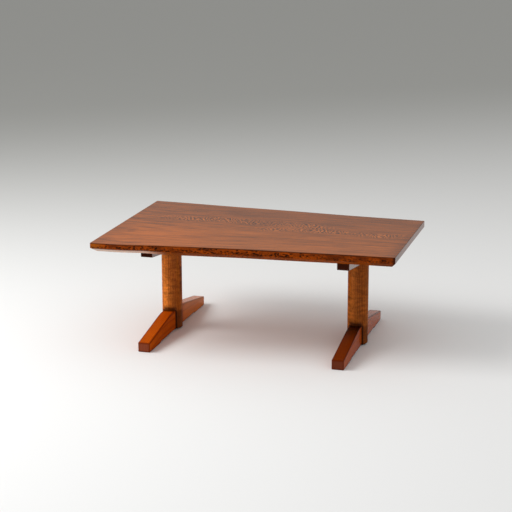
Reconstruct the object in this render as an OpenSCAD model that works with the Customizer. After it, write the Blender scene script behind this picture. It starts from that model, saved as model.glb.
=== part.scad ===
// Low table: a tapered slab with natural front and back edges, carried by two leg frames.
// Each frame is a round column that is forked over a long tapered foot and a tapered batten.
// X runs along the slab's grain, Y from the front to the back, and Z up from the floor.
// The origin lies on the floor, under the middle of the slab's outline.

/* [Table] */
// Height from the floor to the upper face of the slab
table_h = 330; // [290:1:400]
// Overhang of the slab's ends beyond the centre lines of the two leg frames
leg_overhang = 151; // [120:1:200]

/* [Slab] */
// Length of the slab along its grain
top_len = 890; // [820:1:1000]
// Thickness of the slab
top_t = 30; // [26:0.5:40]
// Front edge ahead of the leg line, at the left end
front_left = 284; // [262:1:320]
// Front edge ahead of the leg line, at the right end
front_right = 210; // [190:1:320]
// Back edge behind the leg line, at the left end
back_left = 293; // [270:1:330]
// Back edge behind the leg line, at the right end
back_right = 245; // [225:1:330]
// Strength of the waves in the two natural edges
edge_wave = 1; // [0:0.1:1.5]
// Chamfer all round under the slab
under_chamfer = 11; // [6:0.5:14]
// Width of the broad bevel that takes its place under the left part of the front edge
broad_width = 24; // [14:1:32]
// Height of this broad bevel
broad_height = 14.5; // [11:0.5:18]
// Length of this broad bevel at its full width, from the slab's left end
broad_run = 144; // [60:1:300]
// Length over which it then narrows down to the chamfer
broad_fade = 81; // [40:1:200]
// Eased arris all round the upper face
top_ease = 1.2; // [0.6:0.1:3]

/* [Columns] */
// Diameter of a column
column_d = 62; // [56:1:72]
// Gap between a column and the floor
column_lift = 3; // [2:0.5:5]
// Radius of the rounded arris at a column's lower end
column_round = 3; // [1:0.5:5]

/* [Feet] */
// Length of a foot
foot_len = 516; // [460:1:570]
// Width of a foot
foot_w = 36; // [32:1:42]
// Height of a foot at its ends
foot_end_h = 28; // [22:1:36]
// Height of a foot where it passes through the column
foot_mid_h = 62; // [54:1:74]
// Length of the level stretch in the middle of a foot
foot_flat = 124; // [100:2:160]
// Length of each pad that meets the floor
foot_pad = 95; // [60:1:130]
// Height of the hollow under a foot, between its pads
foot_relief = 3.5; // [2:0.5:6]

/* [Battens] */
// Width of a batten
batten_w = 36; // [32:1:42]
// Height of a batten at its ends
batten_end_h = 19.5; // [15:0.5:26]
// Height of a batten where it passes through the column
batten_mid_h = 42.5; // [38:0.5:52]
// Length of the level stretch in the middle of a batten
batten_flat = 90; // [80:2:130]
// Left batten's front end behind the edge of the slab's underside
batten_setback_left = 27; // [5:0.5:60]
// Right batten's front end behind the edge of the slab's underside
batten_setback_right = 0.5; // [0:0.5:40]

/* [Joints] */
// Depth of the housing cut in each side of a foot or batten for the fork
housing = 4; // [2:0.5:6]
// Clearance of the wooden joints
joint_fit = 0.1; // [0.05:0.05:0.3]
// Eased arris along the feet and battens
arris = 1.6; // [0.5:0.1:3]
// Length over which a foot or batten bends softly into its level stretch
soft_bend = 18; // [6:1:24]

/* [Fasteners] */
// Thread diameter of the bolt between a foot and its column
foot_bolt_d = 8; // [6:1:10]
// Depth of the counterbore under a foot
foot_recess = 12; // [11:0.5:18]
// Reach of the foot bolt into its column
foot_bolt_reach = 16.9; // [12:0.1:22]
// Outer diameter of the washer under a foot
foot_washer_d = 16; // [16:1:22]
// Thread diameter of the bolts between a batten and the slab
top_bolt_d = 6; // [5:1:8]
// Distance of these bolts from the leg line
top_bolt_y = 130; // [90:1:150]
// Wood left under the slab where these bolts pass the batten
top_bolt_land = 16; // [13:0.5:18]
// Reach of these bolts into the slab
top_bolt_reach = 12.4; // [8:0.1:13]
// Outer diameter of the washers under a batten
top_washer_d = 18; // [16:1:22]
// Play of these bolts along their slotted holes, for the slab's movement
slot_play = 7; // [3:0.5:9]
// Diameter of the screws between a batten and its column
screw_d = 5.5; // [4:0.5:7]
// Distance between these two screws
screw_gap = 26; // [20:1:34]
// Reach of these screws into the column
screw_reach = 40.3; // [25:0.1:50]
// Thickness of the washers
washer_t = 1.6; // [1:0.1:2.5]
// Radial gap of bolts, screws and washers in their holes
hole_gap = 0.5; // [0.3:0.1:1]
// Radial gap where a thread bites
thread_gap = 0.05; // [0.02:0.01:0.1]

/* [Hidden] */

left = -1;
right = 1;
eps = 1;
$fn = 96;

// Distance of each natural edge behind its chord, at equal steps from left to right
front_wave = [0, -4, 4, 8, 10, 12, 10, 8, 7, 4, 0];
back_wave = [0, 1, 0, -1, 0, 1, 0, -1, 0, 2, 5];
edge_steps = 40;

slab_colour = [0.66, 0.43, 0.31];
column_colour = [0.62, 0.34, 0.16];
foot_colour = [0.56, 0.25, 0.10];
batten_colour = [0.34, 0.17, 0.10];
steel_colour = [0.72, 0.73, 0.75];
brass_colour = [0.80, 0.66, 0.32];

// Places that several pieces share
leg_x = top_len / 2 - leg_overhang;
underside = table_h - top_t;
batten_low = underside - batten_mid_h;
foot_seat = foot_relief + foot_recess;
batten_seat = underside - top_bolt_land;

// Proportions of the fasteners' heads, sockets and inserts
function head_d(d) = 1.625 * d;
function head_h(d) = d;
function socket_d(d) = 0.9 * d;
function insert_d(d) = 1.5 * d;
function insert_len(reach) = reach + 2;
screw_head_d = 2 * screw_d;
screw_head_h = 0.6 * screw_d;
screw_seat = underside - screw_head_h - hole_gap;

// A value between two others, and a smooth curve through equally spaced values
function mix(a, b, t) = a + (b - a) * t;
function held(w, i) = w[max(0, min(len(w) - 1, i))];
function cubic(a, b, c, d, u) =
    b + u * ((c - a) / 2 + u * (a - 2.5 * b + 2 * c - d / 2 + u * (1.5 * (b - c) + (d - a) / 2)));
function wave(w, t) =
    let (s = t * (len(w) - 1), i = min(floor(s), len(w) - 2))
    edge_wave * cubic(held(w, i - 1), w[i], w[i + 1], held(w, i + 2), s - i);

// The natural edges, from the leg line, at a share t of the length from the left end
function front_edge(t) = wave(front_wave, t) - mix(front_left, front_right, t);
function back_edge(t) = wave(back_wave, t) + mix(back_left, back_right, t);

// The leg line's place in Y, which centres the slab's outline on the origin
steps = [for (i = [0:edge_steps]) i / edge_steps];
front_most = min([for (t = steps) front_edge(t)]);
back_most = max([for (t = steps) back_edge(t)]);
leg_y = -(front_most + back_most) / 2;

outline = concat(
    [for (t = steps) [(t - 0.5) * top_len, leg_y + front_edge(t)]],
    [for (i = [edge_steps:-1:0]) [(steps[i] - 0.5) * top_len, leg_y + back_edge(steps[i])]]
);

// How broad the bevel under the front edge is at a share t of the length, from 0 to 1
function broad(t) =
    let (s = max(0, min(1, (t * top_len - broad_run) / broad_fade)))
    1 - s * s * (3 - 2 * s);

// Half the length of a batten, which ends behind the slab's underside above it
function setback(side) = side == left ? batten_setback_left : batten_setback_right;
function batten_half(side) =
    let (t = 0.5 + side * leg_x / top_len)
    -front_edge(t) - mix(under_chamfer, broad_width, broad(t)) - setback(side);

// A closed outline moved inwards by a distance, with mitred corners
function unit(v) = v / norm(v);
function turned(v) = [-v[1], v[0]];
function inset(p, gap) =
    let (n = len(p))
    [for (i = [0:n - 1])
        let (m = turned(unit(p[i] - p[(i + n - 1) % n])) + turned(unit(p[(i + 1) % n] - p[i])))
        p[i] + 2 * gap * m / (m * m)];

// The soft bend between a sloping and a level stretch, as a curve about their corner
function bend(from, corner, to) =
    let (a = corner + soft_bend * unit(from - corner), b = corner + soft_bend * unit(to - corner))
    [for (t = [0:0.25:1]) (1 - t) * (1 - t) * a + 2 * t * (1 - t) * corner + t * t * b];

// Puts a piece on a leg frame's centre line
module at_leg(side) {
    translate([side * leg_x, leg_y, 0])
        children();
}

// Repeats a child on both sides of the leg line
module at_both(distance) {
    for (y = [-distance, distance])
        translate([0, y, 0])
            children();
}

// A bar on its flat face, tapered above towards both ends, with every arris eased
module tapered_bar(half, width, end_h, mid_h, flat) {
    rise = concat([[half, end_h]], bend([half, end_h], [flat / 2, mid_h], [0, mid_h]));
    fall = [for (i = [len(rise) - 1:-1:0]) [-rise[i][0], rise[i][1]]];
    side_view = concat([[-half, 0], [half, 0]], rise, fall);
    module slice(view, w) {
        rotate([90, 0, 90])
            linear_extrude(w, center = true)
                polygon(view);
    }
    hull() {
        slice(inset(side_view, arris), width);
        slice(side_view, width - 2 * arris);
    }
}

// What a column's fork takes out of both sides of a foot or batten
module fork_housing(width, low, high) {
    translate([0, 0, low])
        difference() {
            cylinder(d = column_d + 2 * joint_fit, h = high - low);
            translate([housing - width / 2, -column_d, -eps])
                cube([width - 2 * housing, 2 * column_d, high - low + 2 * eps]);
        }
}

// The slot between a fork's tines
module fork_slot(width, low, high) {
    slot_w = width - 2 * housing + 2 * joint_fit;
    translate([-slot_w / 2, -column_d, low])
        cube([slot_w, 2 * column_d, high - low]);
}

// A slot along Y with round ends
module long_hole(width, play, low, high) {
    at_both(play / 2)
        translate([0, 0, low])
            cylinder(d = width, h = high - low);
    translate([-width / 2, -play / 2, low])
        cube([width, play, high - low]);
}

// A round hole between two heights
module round_hole(d, low, high) {
    translate([0, 0, low])
        cylinder(d = d, h = high - low);
}

// A bolt that points up from the seat of its head at z = 0, with a hexagon socket
module socket_bolt(d, length) {
    tip = 0.12 * d;
    difference() {
        union() {
            translate([0, 0, -head_h(d)])
                cylinder(d = head_d(d), h = head_h(d));
            cylinder(d = d, h = length - tip);
            translate([0, 0, length - tip])
                cylinder(d1 = d, d2 = d - 2 * tip, h = tip);
        }
        translate([0, 0, -head_h(d) - eps])
            cylinder(d = socket_d(d), h = 0.55 * head_h(d) + eps, $fn = 6);
    }
}

// A screw that points down from the seat of its head at z = 0
module wood_screw(length) {
    tip = 1.5 * screw_d;
    cylinder(d = screw_head_d, h = screw_head_h);
    translate([0, 0, tip - length])
        cylinder(d = screw_d, h = length - tip);
    translate([0, 0, -length])
        cylinder(d1 = 0.2 * screw_d, d2 = screw_d, h = tip);
}

// A washer whose upper face is at z = 0
module washer(outer_d, bolt_d) {
    translate([0, 0, -washer_t])
        difference() {
            cylinder(d = outer_d, h = washer_t);
            round_hole(bolt_d + 2 * hole_gap, -eps, washer_t + eps);
        }
}

// A threaded insert with its mouth at z = 0 and a chamfered lead above
module threaded_insert(d, reach) {
    length = insert_len(reach);
    lead = 0.1 * insert_d(d);
    difference() {
        union() {
            cylinder(d = insert_d(d), h = length - lead);
            translate([0, 0, length - lead])
                cylinder(d1 = insert_d(d), d2 = insert_d(d) - 2 * lead, h = lead);
        }
        round_hole(d + 2 * thread_gap, -eps, length + eps);
    }
}

// The blind bore for a threaded insert, with its mouth at z = 0
module insert_bore(d, reach) {
    round_hole(insert_d(d) + 2 * thread_gap, -eps, insert_len(reach) + eps);
}

// The slab: straight ends, natural front and back edges, chamfered below and eased above.
// The chamfer widens to the broad bevel under the left part of the front edge.
module tabletop() {
    n = len(outline);
    share = [for (i = [0:n - 1]) i <= edge_steps ? broad(steps[i]) : 0];
    chamfered = inset(outline, under_chamfer);
    rings = [
        [for (i = [0:n - 1])
            [chamfered[i][0], chamfered[i][1] + share[i] * (broad_width - under_chamfer), underside]],
        [for (i = [0:n - 1])
            [outline[i][0], outline[i][1], underside + mix(under_chamfer, broad_height, share[i])]],
        [for (p = outline) [p[0], p[1], table_h - top_ease]],
        [for (p = inset(outline, top_ease)) [p[0], p[1], table_h]],
    ];
    points = [for (ring = rings) each ring];
    walls = [for (k = [0:len(rings) - 2]) for (i = [0:n - 1])
        let (a = k * n + i, b = k * n + (i + 1) % n)
        each [[a, a + n, b + n], [a, b + n, b]]];
    lowest = [for (i = [0:n - 1]) i];
    highest = [for (i = [n - 1:-1:0]) (len(rings) - 1) * n + i];
    color(slab_colour)
        difference() {
            polyhedron(points, concat([lowest], walls, [highest]));
            for (side = [left, right])
                at_leg(side)
                    at_both(top_bolt_y)
                        translate([0, 0, underside])
                            insert_bore(top_bolt_d, top_bolt_reach);
        }
}

// A batten: flat against the slab, tapered below, and housed for its column's fork
module batten(side) {
    color(batten_colour)
        at_leg(side)
            difference() {
                translate([0, 0, underside])
                    mirror([0, 0, 1])
                        tapered_bar(batten_half(side), batten_w, batten_end_h, batten_mid_h, batten_flat);
                fork_housing(batten_w, batten_low - eps, underside + eps);
                at_both(top_bolt_y) {
                    long_hole(top_bolt_d + 2 * hole_gap, slot_play, batten_seat - eps, underside + eps);
                    long_hole(top_washer_d + 2 * hole_gap, slot_play, batten_low - eps, batten_seat);
                }
                at_both(screw_gap / 2) {
                    round_hole(screw_d + 2 * hole_gap, batten_low - eps, underside + eps);
                    round_hole(screw_head_d + 2 * hole_gap, screw_seat, underside + eps);
                }
            }
}

// A column: round, forked below over its foot and above over its batten
module column(side) {
    r = column_d / 2;
    lower_arris = [for (a = [0:15:90])
        [r - column_round * (1 - sin(a)), column_lift + column_round * (1 - cos(a))]];
    color(column_colour)
        at_leg(side)
            difference() {
                rotate_extrude()
                    polygon(concat([[0, column_lift]], lower_arris, [[r, underside], [0, underside]]));
                fork_slot(foot_w, column_lift - eps, foot_mid_h);
                fork_slot(batten_w, batten_low, underside + eps);
                translate([0, 0, foot_mid_h])
                    insert_bore(foot_bolt_d, foot_bolt_reach);
                at_both(screw_gap / 2)
                    round_hole(screw_d + 2 * thread_gap, batten_low - screw_reach - eps, batten_low + eps);
            }
}

// A foot: hollowed below between two pads, tapered above, and housed for its column's fork
module foot(side) {
    half = foot_len / 2;
    hollow = half - foot_pad;
    color(foot_colour)
        at_leg(side)
            difference() {
                tapered_bar(half, foot_w, foot_end_h, foot_mid_h, foot_flat);
                rotate([90, 0, 90])
                    linear_extrude(foot_w + 2 * eps, center = true)
                        polygon([
                            [-hollow, -eps], [hollow, -eps], [hollow, 0], [hollow - 2 * foot_relief, foot_relief],
                            [2 * foot_relief - hollow, foot_relief], [-hollow, 0],
                        ]);
                fork_housing(foot_w, -eps, foot_mid_h + eps);
                round_hole(foot_washer_d + 2 * hole_gap, -eps, foot_seat);
                round_hole(foot_bolt_d + 2 * hole_gap, foot_seat - eps, foot_mid_h + eps);
            }
}

// The bolt that draws a foot up into its column's fork
module foot_bolt(side) {
    color(steel_colour)
        at_leg(side)
            translate([0, 0, foot_seat - washer_t])
                socket_bolt(foot_bolt_d, washer_t + foot_mid_h - foot_seat + foot_bolt_reach);
}

module foot_washer(side) {
    color(steel_colour)
        at_leg(side)
            translate([0, 0, foot_seat])
                washer(foot_washer_d, foot_bolt_d);
}

module column_insert(side) {
    color(brass_colour)
        at_leg(side)
            translate([0, 0, foot_mid_h])
                threaded_insert(foot_bolt_d, foot_bolt_reach);
}

// The two screws that hold a batten down in its column's fork
module batten_screws(side) {
    color(steel_colour)
        at_leg(side)
            at_both(screw_gap / 2)
                translate([0, 0, screw_seat])
                    wood_screw(screw_seat - batten_low + screw_reach);
}

// The two bolts that hold the slab on a batten and let it move across its grain
module top_bolts(side) {
    color(steel_colour)
        at_leg(side)
            at_both(top_bolt_y)
                translate([0, 0, batten_seat - washer_t])
                    socket_bolt(top_bolt_d, washer_t + top_bolt_land + top_bolt_reach);
}

module top_washers(side) {
    color(steel_colour)
        at_leg(side)
            at_both(top_bolt_y)
                translate([0, 0, batten_seat])
                    washer(top_washer_d, top_bolt_d);
}

module top_inserts(side) {
    color(brass_colour)
        at_leg(side)
            at_both(top_bolt_y)
                translate([0, 0, underside])
                    threaded_insert(top_bolt_d, top_bolt_reach);
}

tabletop();
batten(left);  // batten_left
batten(right);  // batten_right
column(left);  // column_left
column(right);  // column_right
foot(left);  // foot_left
foot(right);  // foot_right
foot_bolt(left);  // foot_bolt_left
foot_bolt(right);  // foot_bolt_right
foot_washer(left);  // foot_washer_left
foot_washer(right);  // foot_washer_right
column_insert(left);  // column_insert_left
column_insert(right);  // column_insert_right
batten_screws(left);  // batten_screws_left
batten_screws(right);  // batten_screws_right
top_bolts(left);  // top_bolts_left
top_bolts(right);  // top_bolts_right
top_washers(left);  // top_washers_left
top_washers(right);  // top_washers_right
top_inserts(left);  // top_inserts_left
top_inserts(right);  // top_inserts_right
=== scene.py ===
import math

import bmesh
import bpy
import numpy as np
from mathutils import Matrix, Vector, noise


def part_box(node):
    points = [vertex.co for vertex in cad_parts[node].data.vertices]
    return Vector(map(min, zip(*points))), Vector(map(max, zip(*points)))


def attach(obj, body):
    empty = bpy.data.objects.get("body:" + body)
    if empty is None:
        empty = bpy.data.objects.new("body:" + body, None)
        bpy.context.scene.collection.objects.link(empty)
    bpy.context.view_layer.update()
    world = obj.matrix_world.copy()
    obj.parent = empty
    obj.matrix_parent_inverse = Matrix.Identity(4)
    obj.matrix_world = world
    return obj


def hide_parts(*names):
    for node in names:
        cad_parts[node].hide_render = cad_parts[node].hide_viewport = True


# The looks of a low table: a lacquered slab with natural front and back edges, on two leg frames.
# Everything is in metres, with +Z up, in the frame that is loaded here.
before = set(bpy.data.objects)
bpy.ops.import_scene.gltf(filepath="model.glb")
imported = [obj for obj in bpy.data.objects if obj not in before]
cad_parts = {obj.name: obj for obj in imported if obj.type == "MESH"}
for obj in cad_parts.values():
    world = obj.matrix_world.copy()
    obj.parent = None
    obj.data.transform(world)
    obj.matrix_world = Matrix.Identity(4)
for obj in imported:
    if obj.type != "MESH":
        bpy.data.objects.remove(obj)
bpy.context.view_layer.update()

# Sizes that the wooden pieces share with their solids
TOP_EASE = 0.0012
COLUMN_ROUND = 0.003
FORK_SLOT_W = 0.0282
HOUSING = 0.004
JOINT_FIT = 0.0001
BAR_ARRIS = 0.0016
SOFT_BEND = 0.018
FOOT = {"end_h": 0.028, "flat": 0.124, "pad": 0.095, "relief": 0.0035}
BATTEN = {"end_h": 0.0195, "flat": 0.090}
FOOT_RECESS = {"d": 0.017, "depth": 0.012}
FOOT_BOLT_HOLE_D = 0.009
TOP_BOLT_Y = 0.130
TOP_RECESS_D = 0.019
TOP_BOLT_HOLE_D = 0.007
TOP_BOLT_LAND = 0.016
INSERT_BORE = {"d": 0.0091, "depth": 0.0144}
SLOT_PLAY = 0.007

# How finely the pieces are made
SLAB_STATIONS = 720
EDGE_LEVELS = 14
COLUMN_SEGMENTS = 72
COLUMN_ROUND_SEGMENTS = 4
HOLE_SEGMENTS = 32
ARRIS_SEGMENTS = 3
BEND_STEPS = 4

# The small rounding along the edges of a column's forks
FORK_EASE = 0.0005
FORK_EASE_SEGMENTS = 2

# The angles between two faces from which their edge is eased, is eased on a fork, and is shaded crisp
CREASE = math.radians(28)
FORK_CREASE = math.radians(55)
SHARP = math.radians(40)

# Points within a touch are one, and the corners of one level of the slab's solid are within a hair of it
TOUCH = 1e-6
HAIR = 1e-5

# How far cutters reach past a piece, and into each other
CUTTER_REACH = 0.01
CUTTER_OVERLAP = 0.001

# The natural edges' broad hollows and small pits, as a depth and a wavelength along X, Y and Z.
# A pit is where its noise is above a level, which is lower where pits are crowded.
EDGE_HOLLOWS = {"depth": 0.0007, "length": (0.034, 0.05, 0.016)}
EDGE_PITS = {
    "depth": 0.0010, "length": (0.0070, 0.02, 0.0036), "level": 0.52, "crowding": 0.46, "softness": 0.14,
}

# How squarely a natural wall faces the front or back at least, and how high its lines along it start
WALL_FACING = 0.8
WALL_LOWEST = 0.0125

# How crowded the pits are at places in x along the slab
PIT_PLACES = (-0.445, -0.425, -0.28, -0.23, -0.19, 0.13, 0.20, 0.36, 0.445)
PIT_CROWDING = (0.5, 1.0, 0.9, 0.35, 0.9, 1.0, 0.5, 0.45, 0.9)

# Where the slab's upper face has lines along it, as shares of its depth, with one close to each edge
DEPTH_SHARES = (0.0, 0.006, 0.08, 0.3, 0.5, 0.7, 0.92, 0.994, 1.0)

# The dark rim beside each eased arris of a bar, and how much of the arris's darkness it has
BAR_RIM = {"width": 0.0022, "darkness": 0.6}

# Places that the pieces take from their solids, and how far out in y the slab's edges are at least
slab_low, slab_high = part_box("tabletop")
slab_crown = slab_high.z - TOP_EASE
foot_low, foot_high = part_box("foot_left")
bar_width = foot_high.x - foot_low.x
column_low, column_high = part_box("column_left")
column_radius = (column_high.x - column_low.x) / 2
EDGE_ZONE = 0.17


# Geometry

def new_mesh_object(name, bm):
    """Makes an object at the origin from a finished bmesh, with its faces outwards."""
    bmesh.ops.recalc_face_normals(bm, faces=bm.faces)
    mesh = bpy.data.meshes.new(name)
    bm.to_mesh(mesh)
    bm.free()
    made = bpy.data.objects.new(name, mesh)
    bpy.context.scene.collection.objects.link(made)
    return made


def ease(bm, edges, width, segments):
    """Rounds edges and marks the faces that come of it as arris."""
    arris = bm.faces.layers.float.get("arris")
    rounded = bmesh.ops.bevel(
        bm, geom=edges, offset=width, offset_type="OFFSET", segments=segments,
        profile=0.5, affect="EDGES", material=-1, clamp_overlap=True,
    )
    for face in rounded["faces"]:
        face[arris] = 1.0


def sharp_edges(bm, limit=CREASE):
    """The edges where two faces meet at more than an angle."""
    return [edge for edge in bm.edges if edge.is_manifold and edge.calc_face_angle() > limit]


def cut(piece, cutters):
    """Takes solid cutters out of a piece, and removes them."""
    for cutter in cutters:
        taken = piece.modifiers.new("cut", "BOOLEAN")
        taken.operation = "DIFFERENCE"
        taken.solver = "EXACT"
        taken.object = cutter
    graph = bpy.context.evaluated_depsgraph_get()
    result = bpy.data.meshes.new_from_object(piece.evaluated_get(graph))
    piece.modifiers.clear()
    piece.data = result
    for cutter in cutters:
        bpy.data.objects.remove(cutter)


def box_cutter(centre, half_width, half_depth, low, high):
    """An upright block about a centre, between two heights."""
    bm = bmesh.new()
    bmesh.ops.create_cube(bm, size=1)
    bmesh.ops.scale(bm, vec=(2 * half_width, 2 * half_depth, high - low), verts=bm.verts)
    bmesh.ops.translate(bm, vec=(centre.x, centre.y, (low + high) / 2), verts=bm.verts)
    return new_mesh_object("cutter", bm)


def hole_cutter(centre, width, low, high, play=0.0):
    """An upright hole, drawn out along Y by its play."""
    bm = bmesh.new()
    bmesh.ops.create_cone(
        bm, cap_ends=True, segments=HOLE_SEGMENTS,
        radius1=width / 2, radius2=width / 2, depth=high - low,
    )
    half_step = Matrix.Rotation(math.pi / HOLE_SEGMENTS, 3, "Z")
    bmesh.ops.rotate(bm, verts=bm.verts, matrix=half_step)
    for vert in bm.verts:
        vert.co.y += math.copysign(play / 2, vert.co.y)
    bmesh.ops.translate(bm, vec=(centre.x, centre.y, (low + high) / 2), verts=bm.verts)
    return new_mesh_object("cutter", bm)


def housing_cutter(centre, low, high):
    """What a column's fork takes out of both sides of a bar: a drum less the bar's core."""
    bm = bmesh.new()
    radius = column_radius + JOINT_FIT
    bmesh.ops.create_cone(
        bm, cap_ends=True, segments=COLUMN_SEGMENTS, radius1=radius, radius2=radius, depth=high - low,
    )
    bmesh.ops.translate(bm, vec=(centre.x, centre.y, (low + high) / 2), verts=bm.verts)
    drum = new_mesh_object("cutter", bm)
    cut(drum, [box_cutter(centre, bar_width / 2 - HOUSING, 2 * radius, low - HOUSING, high + HOUSING)])
    return drum


def shade(piece):
    """Smooth faces with crisp edges, and normals that follow the larger faces."""
    piece.data.shade_smooth()
    piece.data.set_sharp_from_angle(angle=SHARP)
    weigh = piece.modifiers.new("weighted_normals", "WEIGHTED_NORMAL")
    weigh.mode = "FACE_AREA"
    weigh.weight = 50
    weigh.keep_sharp = True


def finish_piece(piece, node, material):
    """Shades a wooden piece, and lets it stand for its solid."""
    shade(piece)
    piece.data.materials.clear()
    piece.data.materials.append(material)
    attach(piece, "root")
    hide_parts(node)


def slab_edge(side, low_z, high_z):
    """The corners of the slab's solid along its front (-1) or back (1) edge between two heights."""
    corners = {tuple(round(c, 6) for c in v.co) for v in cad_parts["tabletop"].data.vertices}
    return np.array(sorted(c for c in corners if side * c[1] > EDGE_ZONE and low_z < c[2] < high_z))


def along_edge(edge, x):
    """The point of an edge at a place in x."""
    return Vector((x, np.interp(x, edge[:, 0], edge[:, 1]), np.interp(x, edge[:, 0], edge[:, 2])))


def lay_ring(verts, share, front, back):
    """Lays a level of the slab between its front and back edges, by each vertex's share of both ways."""
    for vert in verts:
        x = front[0][0] + vert[share].x * (front[-1][0] - front[0][0])
        vert.co = along_edge(front, x).lerp(along_edge(back, x), vert[share].y)


def press_natural_edges(bm, rises):
    """Presses hollows and pits into the front and back walls, and marks the walls and the pits."""
    bm.normal_update()
    natural = bm.faces.layers.float["natural_edge"]
    pit = bm.verts.layers.float["pit"]
    for face in bm.faces:
        middle = face.calc_center_median()
        low = along_edge(rises[middle.y > 0], middle.x).z
        if abs(face.normal.y) > WALL_FACING and low < middle.z < slab_crown:
            face[natural] = 1.0
    for vert in bm.verts:
        low = along_edge(rises[vert.co.y > 0], vert.co.x).z + TOP_EASE
        if not low < vert.co.z < slab_crown or abs(vert.normal.y) < WALL_FACING:
            continue
        height = (vert.co.z - low) / (slab_crown - low)
        # Hollows and pits fade out at the wall's rims and ends, and pits are less crowded high up
        towards_ends = min(vert.co.x - slab_low.x, slab_high.x - vert.co.x) / EDGE_HOLLOWS["length"][0]
        fade = min(1.0, 3 * math.sin(math.pi * height), 1.5 * towards_ends)
        broad = noise.noise(Vector(c / s for c, s in zip(vert.co, EDGE_HOLLOWS["length"])))
        small = noise.noise(Vector(c / s for c, s in zip(vert.co, EDGE_PITS["length"])))
        crowding = np.interp(vert.co.x, PIT_PLACES, PIT_CROWDING) * (1.1 - 0.7 * height)
        over = small - EDGE_PITS["level"] + EDGE_PITS["crowding"] * crowding
        vert[pit] = min(1.0, max(0.0, over / EDGE_PITS["softness"])) * fade
        depth = EDGE_HOLLOWS["depth"] * (0.5 + 0.5 * broad) * fade + EDGE_PITS["depth"] * vert[pit]
        vert.co.y -= math.copysign(depth, vert.normal.y)


def slab_bores():
    """The cutters of the bores under the slab that hold its threaded inserts."""
    bores = []
    for node in ("top_inserts_left", "top_inserts_right"):
        low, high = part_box(node)
        for y in (low.y + INSERT_BORE["d"] / 2, high.y - INSERT_BORE["d"] / 2):
            seat = Vector(((low.x + high.x) / 2, y, 0))
            bores.append(hole_cutter(
                seat, INSERT_BORE["d"], slab_low.z - CUTTER_OVERLAP, slab_low.z + INSERT_BORE["depth"],
            ))
    return bores


def make_slab():
    """The slab: its edges from the solid, chamfered below, with eased arrises and natural edges."""
    levels = (
        (slab_low.z - HAIR, slab_low.z + HAIR),
        (slab_low.z + HAIR, slab_crown - HAIR),
        (slab_crown - HAIR, slab_crown + HAIR),
    )
    under, rises, widest = [[slab_edge(side, *level) for side in (-1, 1)] for level in levels]
    for edge in widest:
        edge[:, 2] = slab_high.z
    bm = bmesh.new()
    bm.faces.layers.float.new("arris")
    bm.faces.layers.float.new("natural_edge")
    bm.verts.layers.float.new("pit")
    rim = bm.verts.layers.float.new("rim")
    share = bm.verts.layers.float_vector.new("share")
    rows = len(DEPTH_SHARES) - 1
    bmesh.ops.create_grid(bm, x_segments=SLAB_STATIONS, y_segments=rows, size=0.5)
    for vert in bm.verts:
        vert[share] = (vert.co.x + 0.5, DEPTH_SHARES[round((vert.co.y + 0.5) * rows)], 0.0)
        vert[rim] = float(vert.is_boundary)
    lay_ring(bm.verts, share, *under)
    under_faces = region = bm.faces[:]
    for front, back in (rises, widest):
        grown = bmesh.ops.extrude_face_region(bm, geom=region)["geom"]
        if region is not under_faces:
            bmesh.ops.delete(bm, geom=region, context="FACES")
        region = [g for g in grown if isinstance(g, bmesh.types.BMFace)]
        lay_ring([g for g in grown if isinstance(g, bmesh.types.BMVert)], share, front, back)
    bm.verts.layers.float_vector.remove(share)
    bmesh.ops.recalc_face_normals(bm, faces=bm.faces)
    ease(bm, sharp_edges(bm), TOP_EASE, ARRIS_SEGMENTS)
    lowest = slab_low.z + WALL_LOWEST
    for level in range(EDGE_LEVELS):
        height = lowest + (slab_crown - lowest) * level / EDGE_LEVELS
        bmesh.ops.bisect_plane(
            bm, geom=bm.verts[:] + bm.edges[:] + bm.faces[:], plane_co=(0, 0, height), plane_no=(0, 0, 1),
        )
    press_natural_edges(bm, rises)
    slab = new_mesh_object("slab", bm)
    cut(slab, slab_bores())
    return slab


def make_column(side):
    """A column: turned, rounded at its foot, and forked over its foot and its batten."""
    low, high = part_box("column_" + side)
    batten_low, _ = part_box("batten_" + side)
    centre = (low + high) / 2
    bm = bmesh.new()
    bm.faces.layers.float.new("arris")
    profile = [(0, low.z), (column_radius, low.z), (column_radius, high.z), (0, high.z)]
    line = [bm.verts.new((centre.x + r, centre.y, z)) for r, z in profile]
    chain = [bm.edges.new(pair) for pair in zip(line, line[1:])]
    bmesh.ops.spin(
        bm, geom=line + chain, cent=(centre.x, centre.y, 0), axis=(0, 0, 1),
        angle=2 * math.pi, steps=COLUMN_SEGMENTS, use_merge=True,
    )
    bmesh.ops.remove_doubles(bm, verts=bm.verts, dist=TOUCH)
    bmesh.ops.recalc_face_normals(bm, faces=bm.faces)
    rim = [e for e in sharp_edges(bm) if all(v.co.z < low.z + TOUCH for v in e.verts)]
    ease(bm, rim, COLUMN_ROUND, COLUMN_ROUND_SEGMENTS)
    column = new_mesh_object("column." + side, bm)
    slot = (centre, FORK_SLOT_W / 2, 2 * column_radius)
    cut(column, [
        box_cutter(*slot, low.z - CUTTER_REACH, foot_high.z),
        box_cutter(*slot, batten_low.z, high.z + CUTTER_REACH),
    ])
    bm = bmesh.new()
    bm.from_mesh(column.data)
    ease(bm, sharp_edges(bm, FORK_CREASE), FORK_EASE, FORK_EASE_SEGMENTS)
    bmesh.ops.recalc_face_normals(bm, faces=bm.faces)
    bm.to_mesh(column.data)
    bm.free()
    return column


def bend(start, corner, end):
    """A soft bend about a corner, as a few points on a curve."""
    a = corner + SOFT_BEND * (start - corner).normalized()
    b = corner + SOFT_BEND * (end - corner).normalized()
    shares = [step / BEND_STEPS for step in range(BEND_STEPS + 1)]
    return [(1 - t) ** 2 * a + 2 * t * (1 - t) * corner + t ** 2 * b for t in shares]


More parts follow.
